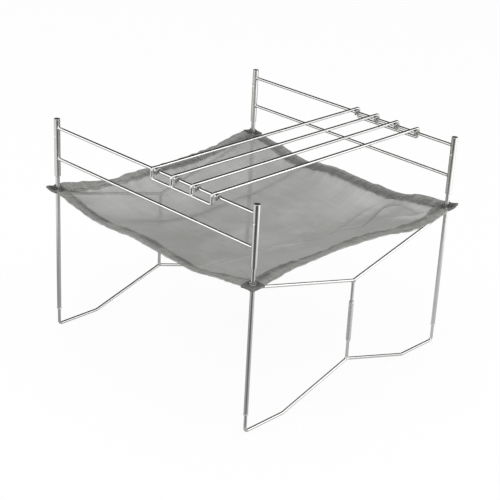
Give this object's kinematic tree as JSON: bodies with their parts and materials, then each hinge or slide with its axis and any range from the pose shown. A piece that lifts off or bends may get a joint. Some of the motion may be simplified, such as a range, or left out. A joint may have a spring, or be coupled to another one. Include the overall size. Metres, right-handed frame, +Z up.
{
  "type": "campfire grill",
  "caption": "Knock-down wire fire stand: two side frames on plug-in feet, two lift-off racks, a slung wire mesh for the fire and a sliding bar grate above it.",
  "frame": {"origin": "on the ground under the middle of the stand", "axes": "+Z up; +X from the left side frame to the right one, along the rails; +Y from the near rack to the far one, along the grate's bars"},
  "size_m": [0.38, 0.38, 0.2964],
  "materials": {
    "stainless_wire": "polished drawn wire",
    "stainless_tube": "polished drawn tube",
    "wire_mesh": "fine woven stainless mesh, satin",
    "wire_mesh_hem": "folded and stitched woven stainless mesh, satin"
  },
  "bodies": {
    "side_frames": {"right_arm_wire": "stainless_wire", "right_near_post": "stainless_tube", "right_far_post": "stainless_tube", "right_link_rod": "stainless_wire", "right_link_barrel": "stainless_tube", "left_arm_wire": "stainless_wire", "left_near_post": "stainless_tube", "left_far_post": "stainless_tube", "left_link_rod": "stainless_wire", "left_link_barrel": "stainless_tube"},
    "right_foot_frame": {"right_foot_wire": "stainless_wire", "right_foot_rod": "stainless_wire"},
    "left_foot_frame": {"left_foot_wire": "stainless_wire", "left_foot_rod": "stainless_wire"},
    "mesh_bed": {"mesh_panel": "wire_mesh", "near_hem": "wire_mesh_hem", "far_hem": "wire_mesh_hem", "left_hem": "wire_mesh_hem", "right_hem": "wire_mesh_hem", "near_right_corner": "wire_mesh_hem", "near_left_corner": "wire_mesh_hem", "far_right_corner": "wire_mesh_hem", "far_left_corner": "wire_mesh_hem", "near_right_eyelet": "stainless_tube", "near_left_eyelet": "stainless_tube", "far_right_eyelet": "stainless_tube", "far_left_eyelet": "stainless_tube"},
    "near_rack": {"near_right_tube": "stainless_tube", "near_left_tube": "stainless_tube", "near_upper_rail": "stainless_wire", "near_lower_rail": "stainless_wire", "near_right_pin_stop": "stainless_tube", "near_left_pin_stop": "stainless_tube"},
    "far_rack": {"far_right_tube": "stainless_tube", "far_left_tube": "stainless_tube", "far_upper_rail": "stainless_wire", "far_lower_rail": "stainless_wire", "far_right_pin_stop": "stainless_tube", "far_left_pin_stop": "stainless_tube"},
    "grate": {"grate_loop": "stainless_wire", "grate_inner_bar_1": "stainless_wire", "grate_inner_bar_2": "stainless_wire", "near_hook_1": "stainless_wire", "near_hook_2": "stainless_wire", "near_hook_3": "stainless_wire", "near_hook_4": "stainless_wire", "far_hook_1": "stainless_wire", "far_hook_2": "stainless_wire", "far_hook_3": "stainless_wire", "far_hook_4": "stainless_wire"}
  },
  "joints": [
    {"name": "mesh_lift", "type": "slide", "parent": "side_frames", "child": "mesh_bed", "axis": [0, 0, 1], "range_m": [0, 0.076]},
    {"name": "near_rack_lift", "type": "slide", "parent": "mesh_bed", "child": "near_rack", "axis": [0, 0, 1], "range_m": [0, 0.054]},
    {"name": "far_rack_lift", "type": "slide", "parent": "mesh_bed", "child": "far_rack", "axis": [0, 0, 1], "range_m": [0, 0.054]},
    {"name": "grate_slide", "type": "slide", "parent": "near_rack", "child": "grate", "axis": [1, 0, 0], "range_m": [-0.185, 0.054]},
    {"name": "right_foot_pull", "type": "slide", "parent": "side_frames", "child": "right_foot_frame", "axis": [0, 0, 1], "range_m": [-0.022, 0]},
    {"name": "left_foot_pull", "type": "slide", "parent": "side_frames", "child": "left_foot_frame", "axis": [0, 0, 1], "range_m": [-0.022, 0]}
  ],
  "couplings": [
    {"joint": "far_rack_lift", "follows": "near_rack_lift", "ratio": 1}
  ]
}
